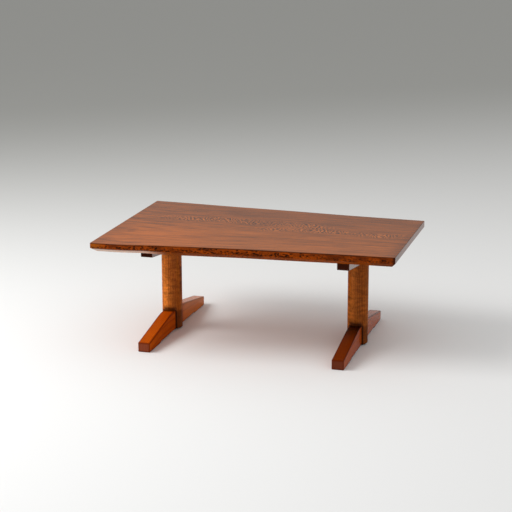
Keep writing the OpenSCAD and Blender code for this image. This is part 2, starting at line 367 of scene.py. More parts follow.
def bar_outline(half, end_h, mid_h, flat, base):
    """A tapered bar's side view as (y, z) points: its base from front to back, then over the top."""
    end = Vector((half, end_h))
    rise = [end] + bend(end, Vector((flat / 2, mid_h)), Vector((0, mid_h)))
    fall = [Vector((-p.x, p.y)) for p in reversed(rise)]
    return [Vector(p) for p in base] + rise + fall


def bar_piece(name, outline, centre, width):
    """Extrudes a side view across its width, rounds every sharp arris, and marks a rim beside it."""
    bm = bmesh.new()
    bm.faces.layers.float.new("arris")
    corners = [bm.verts.new((centre.x - width / 2, centre.y + p.x, p.y)) for p in outline]
    side = bm.faces.new(corners)
    grown = bmesh.ops.extrude_face_region(bm, geom=[side])
    moved = [g for g in grown["geom"] if isinstance(g, bmesh.types.BMVert)]
    bmesh.ops.translate(bm, vec=(width, 0, 0), verts=moved)
    bmesh.ops.recalc_face_normals(bm, faces=bm.faces)
    ease(bm, sharp_edges(bm), BAR_ARRIS, ARRIS_SEGMENTS)
    arris = bm.faces.layers.float["arris"]
    plain = [face for face in bm.faces if face[arris] == 0.0]
    rims = bmesh.ops.inset_region(bm, faces=plain, thickness=BAR_RIM["width"], use_even_offset=True)
    for face in rims["faces"]:
        face[arris] = BAR_RIM["darkness"]
    return new_mesh_object(name, bm)


def make_foot(side):
    """A foot: hollowed below between its pads, tapered above, and housed for the fork."""
    low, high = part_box("foot_" + side)
    centre = (low + high) / 2
    half = (high.y - low.y) / 2
    hollow, relief = half - FOOT["pad"], FOOT["relief"]
    base = [
        (-half, 0), (-hollow, 0), (2 * relief - hollow, relief), (hollow - 2 * relief, relief),
        (hollow, 0), (half, 0),
    ]
    outline = bar_outline(half, FOOT["end_h"], high.z, FOOT["flat"], base)
    foot = bar_piece("foot." + side, outline, centre, high.x - low.x)
    seat = relief + FOOT_RECESS["depth"]
    below, above = -CUTTER_REACH, high.z + CUTTER_REACH
    cut(foot, [
        housing_cutter(centre, below, above),
        hole_cutter(centre, FOOT_RECESS["d"], below, seat),
        hole_cutter(centre, FOOT_BOLT_HOLE_D, seat - CUTTER_OVERLAP, above),
    ])
    return foot


def make_batten(side):
    """A batten: flat against the slab, tapered below, with slotted holes for the slab's bolts."""
    low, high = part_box("batten_" + side)
    centre = (low + high) / 2
    half = (high.y - low.y) / 2
    outline = bar_outline(half, BATTEN["end_h"], high.z - low.z, BATTEN["flat"], [(-half, 0), (half, 0)])
    outline = [Vector((p.x, high.z - p.y)) for p in outline]
    batten = bar_piece("batten." + side, outline, centre, high.x - low.x)
    seat = high.z - TOP_BOLT_LAND
    below, above = low.z - CUTTER_REACH, high.z + CUTTER_REACH
    cutters = [housing_cutter(centre, below, above)]
    for y in (-TOP_BOLT_Y, TOP_BOLT_Y):
        place = centre + Vector((0, y, 0))
        cutters.append(hole_cutter(place, TOP_RECESS_D, below, seat, SLOT_PLAY))
        cutters.append(hole_cutter(place, TOP_BOLT_HOLE_D, seat - CUTTER_OVERLAP, above, SLOT_PLAY))
    cut(batten, cutters)
    return batten


# Node helpers

def add(tree, kind, inputs=None, **settings):
    """Adds a shader node with its settings, and links or sets its inputs by name or number."""
    node = tree.nodes.new("ShaderNode" + kind)
    for name, value in settings.items():
        setattr(node, name, value)
    for name, value in (inputs or {}).items():
        if isinstance(value, bpy.types.NodeSocket):
            tree.links.new(value, node.inputs[name])
        else:
            node.inputs[name].default_value = value
    return node


def calc(tree, operation, *values):
    """One step of arithmetic on numbers."""
    return add(tree, "Math", dict(enumerate(values)), operation=operation).outputs[0]


def times(tree, one, other):
    """The product of two numbers."""
    return calc(tree, "MULTIPLY", one, other)


def larger(tree, one, other):
    """The larger of two numbers."""
    return calc(tree, "MAXIMUM", one, other)


def split(tree, vector):
    """The X, Y and Z of a vector."""
    return add(tree, "SeparateXYZ", {0: vector}).outputs


def mark(tree, name):
    """A mark that a piece's mesh carries, from 0 to 1."""
    return add(tree, "Attribute", attribute_name=name).outputs["Fac"]


def smooth(tree, value, start, end, low=0.0, high=1.0):
    """A soft step from low to high as a value goes from start to end."""
    inputs = {"Value": value, "From Min": start, "From Max": end, "To Min": low, "To Max": high}
    return add(tree, "MapRange", inputs, interpolation_type="SMOOTHSTEP").outputs["Result"]


def between(tree, value, start, full, fading, end):
    """A soft band: from 0 to 1 between its first two places, and back to 0 between its last two."""
    return times(tree, smooth(tree, value, start, full), smooth(tree, value, fading, end, 1.0, 0.0))


def tint(tree, amount, under, over, mode="MIX"):
    """Lays one colour over another by an amount. A Mix node's colours are its inputs 6 and 7 and output 2."""
    mixed = add(tree, "Mix", {0: amount, 6: under, 7: over}, data_type="RGBA", blend_type=mode)
    return mixed.outputs[2]


def stretched(tree, point, scale, shift=(0, 0, 0)):
    """A point scaled along each axis and shifted, for a pattern that is longer one way."""
    return add(tree, "Mapping", {"Vector": point, "Scale": scale, "Location": shift}).outputs[0]


def cloud(tree, point, scale, detail=2.0, rough=0.5, shift=(0, 0, 0)):
    """Soft noise from 0 to 1 over a stretched point. The shift sets it apart from other noise."""
    where = stretched(tree, point, scale, shift)
    inputs = {"Vector": where, "Scale": 1.0, "Detail": detail, "Roughness": rough}
    return add(tree, "TexNoise", inputs).outputs[0]


def wander(tree, point, scale, **settings):
    """Soft noise about 0, from -0.5 to 0.5."""
    return calc(tree, "SUBTRACT", cloud(tree, point, scale, **settings), 0.5)


def new_group(name, inputs, outputs):
    """A shader node group, with its inputs as (name, kind, value) and its outputs as (name, kind)."""
    tree = bpy.data.node_groups.new(name, "ShaderNodeTree")
    for label, kind, value in inputs:
        socket = tree.interface.new_socket(label, in_out="INPUT", socket_type="NodeSocket" + kind)
        if value is not None:
            socket.default_value = value
    for label, kind in outputs:
        tree.interface.new_socket(label, in_out="OUTPUT", socket_type="NodeSocket" + kind)
    return tree, tree.nodes.new("NodeGroupInput").outputs, tree.nodes.new("NodeGroupOutput").inputs


def use_group(tree, group, **inputs):
    """Places a group in a tree, with its inputs named in lower case, and gives its outputs."""
    node = tree.nodes.new("ShaderNodeGroup")
    node.node_tree = group
    for name, value in inputs.items():
        socket = node.inputs[name.replace("_", " ").capitalize()]
        if isinstance(value, bpy.types.NodeSocket):
            tree.links.new(value, socket)
        else:
            socket.default_value = value
    return node.outputs


def colour(red, green, blue):
    """A colour from screen values of 0 to 255."""
    def linear(c):
        c /= 255
        return c / 12.92 if c <= 0.04045 else ((c + 0.055) / 1.055) ** 2.4
    return (linear(red), linear(green), linear(blue), 1.0)


def toned(tone, *levels):
    """A colour from screen values, darkened by a tone."""
    return tuple(c * tone for c in colour(*levels)[:3]) + (1.0,)


# Effects that several woods share. In all of them the grain runs along X, and the pith is at y = z = 0.

def growth_rings():
    """Rings round the pith. They sway slowly along the grain, and curl where the cut runs along them."""
    tree, given, out = new_group(
        "growth_rings",
        [
            ("Point", "Vector", None), ("Spacing", "Float", 0.004), ("Sway", "Float", 0.01),
            ("Curl", "Float", 0.0),
        ],
        [("Line", "Float"), ("Tone", "Float")],
    )
    point = given["Point"]
    across = split(tree, point)
    curl = wander(tree, point, (62, 24, 24), detail=2.5, rough=0.55, shift=(9, 2, 4))
    y = calc(tree, "MULTIPLY_ADD", wander(tree, point, (2.2, 7, 7)), given["Sway"], across["Y"])
    z = wander(tree, point, (3.4, 9, 9), shift=(3, 5, 7))
    z = calc(tree, "MULTIPLY_ADD", z, given["Sway"], across["Z"])
    z = calc(tree, "MULTIPLY_ADD", curl, given["Curl"], z)
    radius = calc(tree, "SQRT", calc(tree, "ADD", times(tree, y, y), times(tree, z, z)))
    count = calc(tree, "DIVIDE", radius, given["Spacing"])
    # Some years grow wider rings than others, and each has its own tone
    slow = add(tree, "TexNoise", {"W": count, "Scale": 0.35, "Detail": 1.0}, noise_dimensions="1D")
    count = calc(tree, "MULTIPLY_ADD", slow.outputs[0], 2.4, count)
    tone = add(tree, "TexWhiteNoise", {"W": calc(tree, "FLOOR", count)}, noise_dimensions="1D").outputs[0]
    # A ring's line starts crisp and fades over its first third
    share = calc(tree, "FRACT", count)
    line = larger(tree, smooth(tree, share, 0.0, 0.34, 1.0, 0.0), smooth(tree, share, 0.93, 1.0))
    tree.links.new(line, out["Line"])
    tree.links.new(tone, out["Tone"])
    return tree


def open_pores():
    """The open pores of a ring-porous wood, as short dark strokes along the grain."""
    tree, given, out = new_group(
        "open_pores",
        [("Point", "Vector", None), ("Amount", "Float", 0.5)],
        [("Mask", "Float")],
    )
    strokes = cloud(tree, given["Point"], (110, 1500, 1500), detail=1.0)
    level = calc(tree, "SUBTRACT", 0.74, times(tree, given["Amount"], 0.2))
    mask = smooth(tree, strokes, level, calc(tree, "ADD", level, 0.07))
    tree.links.new(mask, out["Mask"])
    return tree


def cross_figure():
    """A faint ripple across the grain, as curly wood shows, strong in some places and weak in others."""
    tree, given, out = new_group(
        "cross_figure",
        [("Point", "Vector", None), ("Length", "Float", 0.01)],
        [("Value", "Float")],
    )
    point = given["Point"]
    fine = calc(tree, "DIVIDE", 1.0, given["Length"])
    parts = split(tree, point)
    bent = calc(tree, "MULTIPLY_ADD", cloud(tree, point, (18, 30, 30)), 0.016, parts["X"])
    place = add(tree, "CombineXYZ", {
        "X": times(tree, bent, fine),
        "Y": times(tree, parts["Y"], 38.0),
        "Z": times(tree, parts["Z"], 38.0),
    }).outputs[0]
    ripple = add(tree, "TexNoise", {"Vector": place, "Scale": 1.0, "Detail": 1.5}).outputs[0]
    patch = smooth(tree, cloud(tree, point, (9, 16, 16), shift=(4, 4, 1)), 0.35, 0.65, 0.35, 1.0)
    tree.links.new(times(tree, calc(tree, "SUBTRACT", ripple, 0.5), patch), out["Value"])
    return tree


def lacquered_wood(rings, pores, figure):
    """A lacquered wood's whole surface: its colour, roughness and relief, and where its end grain is."""
    tree, given, out = new_group(
        "lacquered_wood",
        [
            ("Point", "Vector", None), ("Normal", "Vector", None), ("Arris", "Float", 0.0),
            ("Body", "Color", None), ("Bright", "Color", None), ("Dark", "Color", None),
            ("Streaks", "Float", 0.5), ("Spacing", "Float", 0.004), ("Sway", "Float", 0.01),
            ("Curl", "Float", 0.0), ("Line strength", "Float", 0.4), ("Pore amount", "Float", 0.5),
            ("Figure length", "Float", 0.01), ("Figure strength", "Float", 0.3),
            ("End grain", "Color", None),
        ],
        [("Color", "Color"), ("Roughness", "Float"), ("Height", "Float"), ("End", "Float")],
    )
    point, dark = given["Point"], given["Dark"]
    ring = use_group(
        tree, rings, point=point, spacing=given["Spacing"], sway=given["Sway"], curl=given["Curl"],
    )
    pore = use_group(tree, pores, point=point, amount=given["Pore amount"])["Mask"]
    ripple = use_group(tree, figure, point=point, length=given["Figure length"])["Value"]

    streak = cloud(tree, point, (3.2, 34, 34), detail=3.0, rough=0.6, shift=(1, 8, 3))
    streak = times(tree, smooth(tree, streak, 0.36, 0.66), given["Streaks"])
    face = tint(tree, streak, given["Body"], given["Bright"])
    toned_ring = times(tree, ring["Tone"], times(tree, given["Line strength"], 0.35))
    face = tint(tree, toned_ring, face, dark)
    face = tint(tree, times(tree, ring["Line"], given["Line strength"]), face, dark)
    face = tint(tree, times(tree, pore, 0.55), face, dark)
    lift = calc(tree, "MULTIPLY_ADD", ripple, given["Figure strength"], 1.0)
    lift = add(tree, "CombineColor", {"Red": lift, "Green": lift, "Blue": lift}).outputs[0]
    face = tint(tree, 1.0, face, lift, "MULTIPLY")

    end = smooth(tree, calc(tree, "ABSOLUTE", split(tree, given["Normal"])["X"]), 0.7, 0.9)
    speckle = cloud(tree, point, (400, 900, 900), detail=1.0)
    ends = tint(tree, times(tree, ring["Line"], 0.45), given["End grain"], dark)
    ends = tint(tree, smooth(tree, speckle, 0.5, 0.72, 0.0, 0.5), ends, dark)
    made = tint(tree, end, face, ends)
    made = tint(tree, times(tree, given["Arris"], 0.8), made, dark)

    worn = wander(tree, point, (14, 40, 40), detail=3.0, rough=0.6, shift=(6, 1, 2))
    rough = calc(tree, "MULTIPLY_ADD", worn, 0.16, 0.40)
    rough = calc(tree, "MULTIPLY_ADD", pore, 0.2, rough)
    rough = calc(tree, "MULTIPLY_ADD", end, 0.12, rough)
    height = calc(tree, "MULTIPLY_ADD", pore, -0.8, times(tree, ring["Line"], -0.25))
    height = calc(tree, "MULTIPLY_ADD", ripple, 0.5, height)
    tree.links.new(made, out["Color"])
    tree.links.new(rough, out["Roughness"])
    tree.links.new(height, out["Height"])
    tree.links.new(end, out["End"])
    return tree


WOOD = lacquered_wood(growth_rings(), open_pores(), cross_figure())

# Turns that bring each grain direction onto X
GRAIN_X = (0, 0, 0)
GRAIN_Y = (0, 0, -math.pi / 2)
GRAIN_Z = (0, math.pi / 2, 0)

# The clear lacquer, and the depth of a wood's relief and of a metal's marks
COAT_ROUGHNESS = 0.2
COAT_IOR = 1.36
BATTEN_COAT_IOR = 1.6
WOOD_RELIEF = 0.0002
METAL_RELIEF = 0.00005

# The slab's two rows of curled figure. Each has its middle line, as shares of the slab's length and of a
# span in y, how far from that line it fades out, and the four places in x between which it comes and goes.
FIGURE_ROWS = (
    {
        "line": (
            (0.0, 0.66), (0.16, 0.62), (0.30, 0.70), (0.46, 0.66), (0.60, 0.68), (0.72, 0.56), (1.0, 0.5),
        ),
        "width": 0.042, "reach": (-0.42, -0.2, 0.12, 0.24),
    },
    {
        "line": ((0.0, 0.3), (0.50, 0.30), (0.62, 0.36), (0.76, 0.38), (0.90, 0.34), (1.0, 0.5)),
        "width": 0.03, "reach": (-0.06, 0.04, 0.36, 0.46),
    },
)
FIGURE_SPAN = {"start": -0.05, "depth": 0.2}

# How many strokes a row of curls has
CURLS_PER_METRE = 74

# How the slab's grain narrows towards its right end: its middle line's slope and start in y, how much of its
# width it loses in a metre, and where its pith lies
TAPER = {"slope": 0.014, "start": 0.0065, "loss": 0.26, "pith_y": 0.07, "pith_z": 0.262}

# Darker places on the slab's upper face, and one warmer place: middle, size and strength
DUSKY_SPOTS = (
    ((-0.38, -0.11, 0.33), (0.02, 0.04, 1.0), 0.5),
    ((-0.43, 0.22, 0.33), (0.05, 0.12, 1.0), 0.6),
    ((-0.06, 0.19, 0.33), (0.30, 0.09, 1.0), 1.0),
    ((-0.03, 0.09, 0.33), (0.16, 0.08, 1.0), 0.95),
    ((0.39, 0.05, 0.33), (0.05, 0.03, 1.0), 0.5),
)
WARM_SPOT = ((-0.30, -0.17, 0.33), (0.32, 0.22, 1.0), 0.35)

# The slab's colours, and those of its natural edges
SLAB_COLOURS = {
    "warm": colour(190, 96, 10), "dark_line": colour(74, 34, 24), "bright_line": colour(196, 104, 40),
    "dark_curl": colour(42, 21, 14), "bright_curl": colour(222, 124, 48), "dusk": colour(66, 36, 26),
    "underside": colour(226, 122, 40), "painted_reflection": colour(214, 190, 168), "front_corner": colour(58, 24, 12),
}
EDGE_COLOURS = {
    "dark": colour(98, 37, 2), "light": colour(146, 60, 3), "left_end": colour(176, 92, 18),
    "right_end": colour(46, 15, 2), "upper_rim": colour(50, 18, 4), "pit": colour(16, 7, 4),
}

# Ends of a stain's band that nothing reaches, for a band that is open below or above
OPEN_BELOW = (-2.0, -1.0)
OPEN_ABOVE = (2.0, 3.0)
UPWARDS = (0.6, 0.9) + OPEN_ABOVE

# Where the dark line lies beside a foot on the cheeks of its fork, out from the middle of the column
SEAM_BAND = (0.0150, 0.0165, 0.0195, 0.0235)

# How far each leg frame is from the middle of the slab, and the painted shade on a foot's top where it meets
# its column
LEG_X = 0.294
JOINT_SHADE = colour(20, 5, 1)


# Materials

def new_material(name):
    """An empty material, with its tree, a Principled shader and its output in place."""
    material = bpy.data.materials.new(name)
    material.use_nodes = True
    tree = material.node_tree
    tree.nodes.clear()
    shader = add(tree, "BsdfPrincipled")
    output = add(tree, "OutputMaterial", {"Surface": shader.outputs[0]})
    return material, tree, shader, output


def grain_space(tree, turn, pith):
    """The object's own coordinates and normal, and both again with the grain along X and the pith at the
    origin."""
    source = add(tree, "TexCoord").outputs
    point = add(tree, "Mapping", {"Vector": source["Object"], "Rotation": turn, "Location": pith})
    normal = add(tree, "Mapping", {"Vector": source["Normal"], "Rotation": turn}, vector_type="NORMAL")
    return source["Object"], source["Normal"], point.outputs[0], normal.outputs[0]


def dress_wood(tree, shader, made, coat, coat_ior=COAT_IOR):
    """Feeds a wood's colour, roughness and relief to the shader, under a coat of clear lacquer."""
    tree.links.new(made["Color"], shader.inputs["Base Color"])
    tree.links.new(made["Roughness"], shader.inputs["Roughness"])
    bump = add(tree, "Bump", {"Height": made["Height"], "Distance": WOOD_RELIEF, "Strength": 1.0})
    tree.links.new(bump.outputs[0], shader.inputs["Normal"])
    tree.links.new(coat, shader.inputs["Coat Weight"])
    shader.inputs["Specular IOR Level"].default_value = 0.0
    shader.inputs["Coat Roughness"].default_value = COAT_ROUGHNESS
    shader.inputs["Coat IOR"].default_value = coat_ior


def wood_material(name, turn, pith, coat, values, coat_ior=COAT_IOR, stains_and_shade=()):
    """A wood in its grain direction, cut at a distance from its pith.

    The coat is the lacquer's weight in front and at the back, and the share of it that the sides have. End
    grain has none. Stains and painted shade are each a share, a colour and its soft bands in X, Y, Z or
    facing up.
    """
    material, tree, shader, _ = new_material(name)
    place, facing, point, normal = grain_space(tree, turn, pith)
    made = use_group(tree, WOOD, point=point, normal=normal, arris=mark(tree, "arris"), **values)
    fields = dict(split(tree, place).items())
    fields["Up"] = split(tree, facing)["Z"]
    surface = made["Color"]
    for share, stain_and_shade_colour, bands in stains_and_shade:
        for field, band in bands.items():
            share = times(tree, share, between(tree, fields[field], *band))
        surface = tint(tree, share, surface, stain_and_shade_colour)
    front, back, sides = coat
    lacquer = smooth(tree, fields["Y"], -0.08, 0.08, front, back)
    lacquer = times(tree, lacquer, smooth(tree, fields["Up"], 0.3, 0.7, sides, 1.0))
    lacquer = times(tree, lacquer, calc(tree, "SUBTRACT", 1.0, made["End"]))
    dressed = {"Color": surface, "Roughness": made["Roughness"], "Height": made["Height"]}
    dress_wood(tree, shader, dressed, lacquer, coat_ior)
    return material


def line_through(tree, value, points):
    """A smooth line through (place, value) points, from 0 to 1 both ways."""
    node = add(tree, "FloatCurve", {"Value": value})
    curve = node.mapping.curves[0]
    for place, height in points[1:-1]:
        curve.points.new(place, height)
    curve.points[0].location = points[0]
    curve.points[-1].location = points[-1]
    node.mapping.update()
    return node.outputs[0]


def figure_band(tree, parts, line, width, reach):
    """How strong a row of curled figure is at each place on the slab, and how far off its middle line."""
    along = {"Value": parts["X"], "From Min": slab_low.x, "From Max": slab_high.x}
    along = add(tree, "MapRange", along).outputs[0]
    middle = line_through(tree, along, line)
    middle = calc(tree, "MULTIPLY_ADD", middle, FIGURE_SPAN["depth"], FIGURE_SPAN["start"])
    off = calc(tree, "SUBTRACT", parts["Y"], middle)
    strength = smooth(tree, calc(tree, "ABSOLUTE", off), 0.3 * width, width, 1.0, 0.0)
    return times(tree, strength, between(tree, parts["X"], *reach)), off


def curl_strokes(tree, place, parts, off):
    """Short strokes that lean across the grain and hook at their ends, as one wave from -1 to 1."""
    slope = cloud(tree, place, (10, 4, 4), detail=1.0, shift=(0, 6, 0))
    slope = calc(tree, "MULTIPLY_ADD", slope, 3.4, -1.1)
    lean = calc(tree, "MULTIPLY_ADD", off, slope, parts["X"])
    hooked = calc(tree, "MULTIPLY_ADD", times(tree, off, off), -9.0, lean)
    drift = cloud(tree, place, (34, 46, 46), detail=2.5, rough=0.55, shift=(5, 1, 0))
    drift = calc(tree, "MULTIPLY_ADD", drift, 0.06, hooked)
    return calc(tree, "SINE", times(tree, drift, CURLS_PER_METRE * 2 * math.pi))


def soft_spot(tree, place, middle, size, strength):
    """A soft spot about a place, as long and as wide as its size, and as strong as its strength."""
    scale = tuple(1 / s for s in size)
    centred = stretched(tree, place, scale, tuple(-m / s for m, s in zip(middle, size)))
    away = add(tree, "VectorMath", {0: centred}, operation="LENGTH").outputs["Value"]
    return times(tree, smooth(tree, away, 0.25, 1.0, 1.0, 0.0), strength)


def tapered_grain(tree, parts):
    """The slab's grain, which narrows towards the right as its two edges do."""
    middle = calc(tree, "MULTIPLY_ADD", parts["X"], TAPER["slope"], TAPER["start"])
    width = calc(tree, "MULTIPLY_ADD", parts["X"], -TAPER["loss"], 1.0)
    across = calc(tree, "DIVIDE", calc(tree, "SUBTRACT", parts["Y"], middle), width)
    return add(tree, "CombineXYZ", {
        "X": parts["X"],
        "Y": calc(tree, "SUBTRACT", across, TAPER["pith_y"]),
        "Z": calc(tree, "SUBTRACT", parts["Z"], TAPER["pith_z"]),
    }).outputs[0]


def lined_face(tree, face, point, parts):
    """Lays lines along the slab's grain: broad faint ones, and fine dark and bright ones, which are more
    vivid at the left end."""
    broad = cloud(tree, point, (1.8, 64, 64), detail=2.5, rough=0.6, shift=(4, 2, 9))
    face = tint(tree, smooth(tree, broad, 0.5, 0.68, 0.0, 0.14), face, SLAB_COLOURS["dark_line"])
    fine = cloud(tree, point, (8, 150, 150), detail=3.0, rough=0.65, shift=(3, 3, 5))
    vivid = smooth(tree, parts["X"], -0.32, -0.12, 0.62, 0.4)
    dark = times(tree, smooth(tree, fine, 0.48, 0.66), vivid)
    face = tint(tree, dark, face, SLAB_COLOURS["dark_line"])
    bright = times(tree, smooth(tree, fine, 0.52, 0.34), vivid)
    return tint(tree, bright, face, SLAB_COLOURS["bright_line"])


def curled_face(tree, face, place, parts, rows, gaps):
    """Lays the bright and dark strokes of the rows of curls over the slab's face."""
    for strength, off in rows:
        strokes = curl_strokes(tree, place, parts, off)
        held = times(tree, strength, gaps)
        bright = times(tree, smooth(tree, strokes, -0.9, -0.2, 0.72, 0.0), held)
        face = tint(tree, bright, face, SLAB_COLOURS["bright_curl"])
        dark = times(tree, smooth(tree, strokes, 0.2, 0.9, 0.0, 0.88), held)
        face = tint(tree, dark, face, SLAB_COLOURS["dark_curl"])
    return face


def dusky_face(tree, face, place, parts):
    """Darkens the slab's face towards its back and both ends, and in a few spots."""
    dusk = smooth(tree, parts["Y"], -0.12, 0.18, 0.0, 0.7)
    dusk = larger(tree, dusk, smooth(tree, parts["X"], 0.40, 0.45))
    dusk = larger(tree, dusk, smooth(tree, parts["X"], -0.36, -0.445, 0.0, 0.6))
    for spot in DUSKY_SPOTS:
        dusk = larger(tree, dusk, soft_spot(tree, place, *spot))
    return tint(tree, times(tree, dusk, 0.45), face, SLAB_COLOURS["dusk"])


def edge_pits(tree, place, parts, height, pit):
    """The pressed pits of the slab's edges, with small dark ones added, most of them low and at the left."""
    crowded = smooth(tree, height, 0.011, 0.021, 0.075, 0.0)
    crowded = times(tree, crowded, smooth(tree, parts["X"], -0.24, -0.18, 1.0, 0.0))
    knotty = calc(tree, "ADD", cloud(tree, place, (210, 70, 480), rough=0.6), crowded)
    low_half = smooth(tree, height, 0.012, 0.026, 1.0, 0.45)
    return larger(tree, pit, times(tree, smooth(tree, knotty, 0.545, 0.60), low_half))


def edge_bark(tree, place, parts, height, pit):
    """The colour of the slab's natural edges: mottled, paler at the left end, dark at the right end and along
    their upper rim, and darkest in their pits."""
    mottle = cloud(tree, place, (26, 20, 90), rough=0.6, shift=(7, 0, 0))
    bark = tint(tree, smooth(tree, mottle, 0.35, 0.65), EDGE_COLOURS["dark"], EDGE_COLOURS["light"])
    left_end = smooth(tree, parts["X"], -0.39, -0.44, 0.0, 0.6)
    bark = tint(tree, left_end, bark, EDGE_COLOURS["left_end"])
    right_end = smooth(tree, parts["X"], 0.434, 0.442, 0.0, 0.9)
    bark = tint(tree, right_end, bark, EDGE_COLOURS["right_end"])
    upper_rim = smooth(tree, height, 0.0262, 0.0278, 0.0, 0.7)
    bark = tint(tree, upper_rim, bark, EDGE_COLOURS["upper_rim"])
    return tint(tree, times(tree, pit, 0.92), bark, EDGE_COLOURS["pit"])


def slab_material():
    """The slab: streaked grain with two rows of curled figure, and natural edges with dark pits."""
    material, tree, shader, _ = new_material("slab_wood")
    place, _, _, normal = grain_space(tree, GRAIN_X, (0, 0, 0))
    parts = split(tree, place)
    faces = split(tree, normal)
    point = tapered_grain(tree, parts)
    height = calc(tree, "SUBTRACT", parts["Z"], slab_low.z)
    arris, natural, pit, rim = [mark(tree, name) for name in ("arris", "natural_edge", "pit", "rim")]
    arris = larger(tree, arris, times(tree, rim, smooth(tree, faces["Z"], 0.8, 0.95)))
    rows = [figure_band(tree, parts, **row) for row in FIGURE_ROWS]
    gaps = cloud(tree, place, (11, 14, 14), detail=1.0, shift=(2, 0, 0))
    gaps = smooth(tree, gaps, 0.34, 0.52, 0.55, 1.0)
    band = times(tree, larger(tree, rows[0][0], rows[1][0]), gaps)
    made = use_group(
        tree, WOOD, point=point, normal=normal, arris=arris, body=colour(146, 78, 27),
        bright=colour(180, 98, 36), dark=colour(56, 26, 12), streaks=0.55, spacing=0.0052, sway=0.012,
        curl=calc(tree, "MULTIPLY_ADD", band, 0.03, 0.001),
        line_strength=calc(tree, "MULTIPLY_ADD", band, 0.2, 0.22),
        pore_amount=0.4, figure_length=0.012, figure_strength=0.2, end_grain=colour(140, 84, 58),
    )
    face = tint(tree, soft_spot(tree, place, *WARM_SPOT), made["Color"], SLAB_COLOURS["warm"])
    face = lined_face(tree, face, point, parts)
    face = curled_face(tree, face, place, parts, rows, gaps)
    face = dusky_face(tree, face, place, parts)

    underside = smooth(tree, faces["Z"], -0.9, -0.97, 0.0, 0.45)
    face = tint(tree, underside, face, SLAB_COLOURS["underside"])
    bevel = times(tree, smooth(tree, faces["Z"], -0.25, -0.4), smooth(tree, faces["Y"], -0.2, -0.4))
    # Painted reflection of the lit floor on the bevel under the front edge, towards the left
    painted_reflection = times(tree, bevel, smooth(tree, parts["X"], -0.34, -0.20, 0.55, 0.0))
    face = tint(tree, painted_reflection, face, SLAB_COLOURS["painted_reflection"])
    corner = smooth(tree, parts["Y"], -0.10, -0.21, 0.0, 0.7)
    corner = times(tree, smooth(tree, faces["X"], 0.7, 0.9), corner)
    face = tint(tree, corner, face, SLAB_COLOURS["front_corner"])

    # The bark covers the natural walls, the top of the bevel below them, and more of it towards the right
    pit = edge_pits(tree, place, parts, height, pit)
    bark = edge_bark(tree, place, parts, height, pit)
    reach = smooth(tree, parts["X"], -0.30, -0.18, 0.0, 0.75)
    reach = larger(tree, reach, smooth(tree, height, 0.0095, 0.0120, 0.0, 0.85))
    covered = larger(tree, natural, times(tree, bevel, reach))
    surface = tint(tree, covered, face, bark)
    relief = calc(tree, "MULTIPLY_ADD", times(tree, pit, natural), -1.5, made["Height"])
    coat = calc(tree, "MULTIPLY_ADD", covered, -0.88, 1.0)
    dress_wood(tree, shader, {"Color": surface, "Roughness": made["Roughness"], "Height": relief}, coat)
    return material


def frame_woods(middle, tone, shaded_side, cheek_shade, foot_tone, end_tone, foot_coat, foot_stains_and_shade):
    """The woods of the leg frame with its middle at a place in x.

    They are made from the tone of its column, where beside the middle the painted shade on its side away from
    the key light starts, how dark the painted shade on its fork's cheeks is, and the tones, lacquer, stains
    and painted shade of its foot.
    """
    shaded_side += middle
    seams = [sorted((middle + side * x for x in SEAM_BAND)) for side in (-1, 1)]
    column = wood_material("column_wood", GRAIN_Z, (0, 0.03, 0.16), (0.15, 0.3, 1.0), dict(
        body=toned(tone, 198, 105, 33), bright=toned(tone, 228, 132, 50), dark=toned(tone, 76, 30, 5),
        streaks=0.7, spacing=0.0042, sway=0.02, curl=0.003, line_strength=0.75, pore_amount=0.95,
        figure_length=0.008, figure_strength=2.0, end_grain=toned(tone, 100, 54, 24),
    ), stains_and_shade=(
        # Painted shade over the column's side away from the key light
        (0.42, toned(tone, 84, 34, 4), {"X": (shaded_side, shaded_side + 0.010) + OPEN_ABOVE}),
        # Painted shade on the fork's cheeks below the top of the foot, down to the floor
        (cheek_shade, toned(tone, 62, 20, 5), {"Z": OPEN_BELOW + (0.056, 0.066)}),
        # Painted shade on the column just above the foot's top, where the foot goes into it
        (0.85, toned(tone, 44, 13, 4), {
            "X": (middle - 0.026, middle - 0.014, middle + 0.014, middle + 0.026),
            "Z": OPEN_BELOW + (0.067, 0.078),
        }),
        *[(0.8, toned(tone, 24, 7, 3), {"X": seam, "Z": OPEN_BELOW + (0.060, 0.066)}) for seam in seams],
    ))
    foot = wood_material("foot_wood", GRAIN_Y, (0, 0.11, 0.05), foot_coat, dict(
        body=toned(foot_tone, 169, 69, 2), bright=toned(foot_tone, 184, 83, 6),
        dark=toned(foot_tone, 93, 27, 2), streaks=0.6, spacing=0.004, sway=0.015, curl=0.001,
        line_strength=0.35, pore_amount=0.5, figure_length=0.012, figure_strength=0.25,
        end_grain=toned(end_tone, 130, 66, 44),
    ), stains_and_shade=foot_stains_and_shade)
    return {"column": column, "foot": foot}


def metal_material(name, base, rough, scale):
    """Plated or turned metal, with faint marks in its gloss and colour."""
    material, tree, shader, _ = new_material(name)
    point = add(tree, "TexCoord").outputs["Object"]
    marks = cloud(tree, point, (scale, scale, scale * 3), detail=3.0, rough=0.6)
    tone = tint(tree, smooth(tree, marks, 0.3, 0.7, 0.0, 0.35), base, colour(90, 86, 80))
    tree.links.new(tone, shader.inputs["Base Color"])
    tree.links.new(smooth(tree, marks, 0.3, 0.7, rough - 0.08, rough + 0.1), shader.inputs["Roughness"])
    bump = add(tree, "Bump", {"Height": marks, "Distance": METAL_RELIEF})
    tree.links.new(bump.outputs[0], shader.inputs["Normal"])
    shader.inputs["Metallic"].default_value = 1.0
    return material


